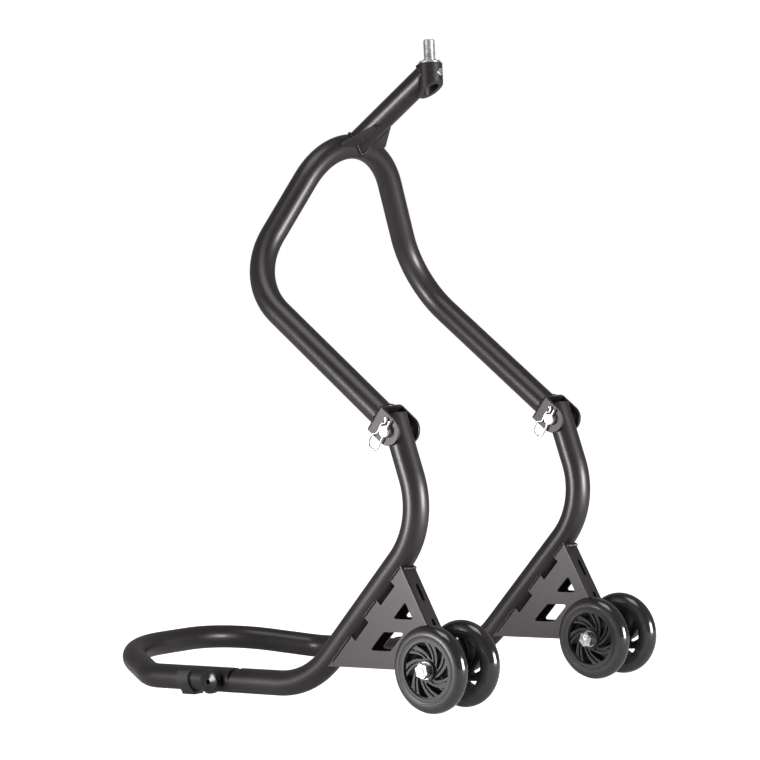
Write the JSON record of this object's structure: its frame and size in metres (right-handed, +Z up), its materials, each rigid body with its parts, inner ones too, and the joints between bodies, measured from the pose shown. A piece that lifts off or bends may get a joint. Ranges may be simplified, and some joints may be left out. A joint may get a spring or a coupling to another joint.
{
  "type": "motorcycle front paddock stand",
  "caption": "Tubular stand on twin wheels with a folding arch and a pin that lifts a motorcycle by its steering head.",
  "frame": {"origin": "on the floor at the middle of the stand's bounding box", "axes": "+X from the handle loop towards the wheels, +Y to the left, +Z up"},
  "size_m": [0.723, 0.456, 0.8654],
  "materials": {
    "black_powder_coat": "satin powder coat over steel",
    "zinc_plate": "bright zinc plated steel",
    "bearing_steel": "ground bearing steel",
    "black_urethane": "glossy moulded polyurethane",
    "black_nylon": "satin moulded nylon",
    "black_plastic": "moulded plastic",
    "black_rubber": "matt rubber"
  },
  "bodies": {
    "base": {"handle_loop": "black_powder_coat", "right_leg_tube": "black_powder_coat", "right_leg_cap": "black_plastic", "right_gusset_box": "black_powder_coat", "right_handle_spigot": "black_powder_coat", "right_foot_pad": "black_rubber", "right_axle_bolt": "zinc_plate", "right_axle_nut": "zinc_plate", "right_axle_washers": "zinc_plate", "right_axle_spacers": "zinc_plate", "right_bearing_inner_rings": "bearing_steel", "right_bearing_sleeves": "zinc_plate", "left_leg_tube": "black_powder_coat", "left_leg_cap": "black_plastic", "left_gusset_box": "black_powder_coat", "left_handle_spigot": "black_powder_coat", "left_foot_pad": "black_rubber", "left_axle_bolt": "zinc_plate", "left_axle_nut": "zinc_plate", "left_axle_washers": "zinc_plate", "left_axle_spacers": "zinc_plate", "left_bearing_inner_rings": "bearing_steel", "left_bearing_sleeves": "zinc_plate"},
    "arch": {"arch_tube": "black_powder_coat", "stalk_tube": "black_powder_coat", "right_stalk_wing": "black_powder_coat", "left_stalk_wing": "black_powder_coat", "head_boss": "black_powder_coat", "right_clevis": "black_powder_coat", "left_clevis": "black_powder_coat"},
    "right_outer_wheel": {"right_outer_wheel_tyre": "black_urethane", "right_outer_wheel_hub": "black_nylon", "right_outer_wheel_bearing_outer_rings": "bearing_steel"},
    "right_inner_wheel": {"right_inner_wheel_tyre": "black_urethane", "right_inner_wheel_hub": "black_nylon", "right_inner_wheel_bearing_outer_rings": "bearing_steel"},
    "right_handle_screw": {"right_handle_screw": "black_plastic"},
    "right_hinge_pin": {"right_hinge_pin": "zinc_plate", "right_hinge_clip": "zinc_plate"},
    "left_outer_wheel": {"left_outer_wheel_tyre": "black_urethane", "left_outer_wheel_hub": "black_nylon", "left_outer_wheel_bearing_outer_rings": "bearing_steel"},
    "left_inner_wheel": {"left_inner_wheel_tyre": "black_urethane", "left_inner_wheel_hub": "black_nylon", "left_inner_wheel_bearing_outer_rings": "bearing_steel"},
    "left_handle_screw": {"left_handle_screw": "black_plastic"},
    "left_hinge_pin": {"left_hinge_pin": "zinc_plate", "left_hinge_clip": "zinc_plate"},
    "head_washer": {"head_washer": "zinc_plate"},
    "head_pin": {"head_pin": "zinc_plate"},
    "lock_screw": {"lock_screw": "zinc_plate"}
  },
  "joints": [
    {"name": "arch_fold", "type": "hinge", "parent": "base", "child": "arch", "pos_m": [0.24477, 0, 0.35084], "axis": [0, 1, 0], "range_deg": [0, 125]},
    {"name": "right_outer_wheel_spin", "type": "hinge", "parent": "base", "child": "right_outer_wheel", "pos_m": [0.3065, -0.2084, 0.055], "axis": [0, 1, 0], "continuous": true},
    {"name": "right_inner_wheel_spin", "type": "hinge", "parent": "base", "child": "right_inner_wheel", "pos_m": [0.3065, -0.1436, 0.055], "axis": [0, 1, 0], "continuous": true},
    {"name": "right_handle_screw_turn", "type": "hinge", "parent": "base", "child": "right_handle_screw", "pos_m": [-0.081, -0.196, 0.0215], "axis": [0, -1, 0], "continuous": true},
    {"name": "right_hinge_pin_turn", "type": "hinge", "parent": "arch", "child": "right_hinge_pin", "pos_m": [0.24477, -0.176, 0.35084], "axis": [0, 1, 0], "continuous": true},
    {"name": "left_outer_wheel_spin", "type": "hinge", "parent": "base", "child": "left_outer_wheel", "pos_m": [0.3065, 0.2084, 0.055], "axis": [0, 1, 0], "continuous": true},
    {"name": "left_inner_wheel_spin", "type": "hinge", "parent": "base", "child": "left_inner_wheel", "pos_m": [0.3065, 0.1436, 0.055], "axis": [0, 1, 0], "continuous": true},
    {"name": "left_handle_screw_turn", "type": "hinge", "parent": "base", "child": "left_handle_screw", "pos_m": [-0.081, 0.196, 0.0215], "axis": [0, 1, 0], "continuous": true},
    {"name": "left_hinge_pin_turn", "type": "hinge", "parent": "arch", "child": "left_hinge_pin", "pos_m": [0.24477, 0.176, 0.35084], "axis": [0, 1, 0], "continuous": true},
    {"name": "head_pin_lift", "type": "slide", "parent": "arch", "child": "head_washer", "axis": [0, 0, 1], "range_m": [0, 0.02]},
    {"name": "head_pin_swivel", "type": "hinge", "parent": "head_washer", "child": "head_pin", "pos_m": [0.18328, 0, 0.834], "axis": [0, 0, 1], "continuous": true},
    {"name": "lock_screw_turn", "type": "hinge", "parent": "arch", "child": "lock_screw", "pos_m": [0.19728, 0, 0.821], "axis": [1, 0, 0], "continuous": true}
  ]
}
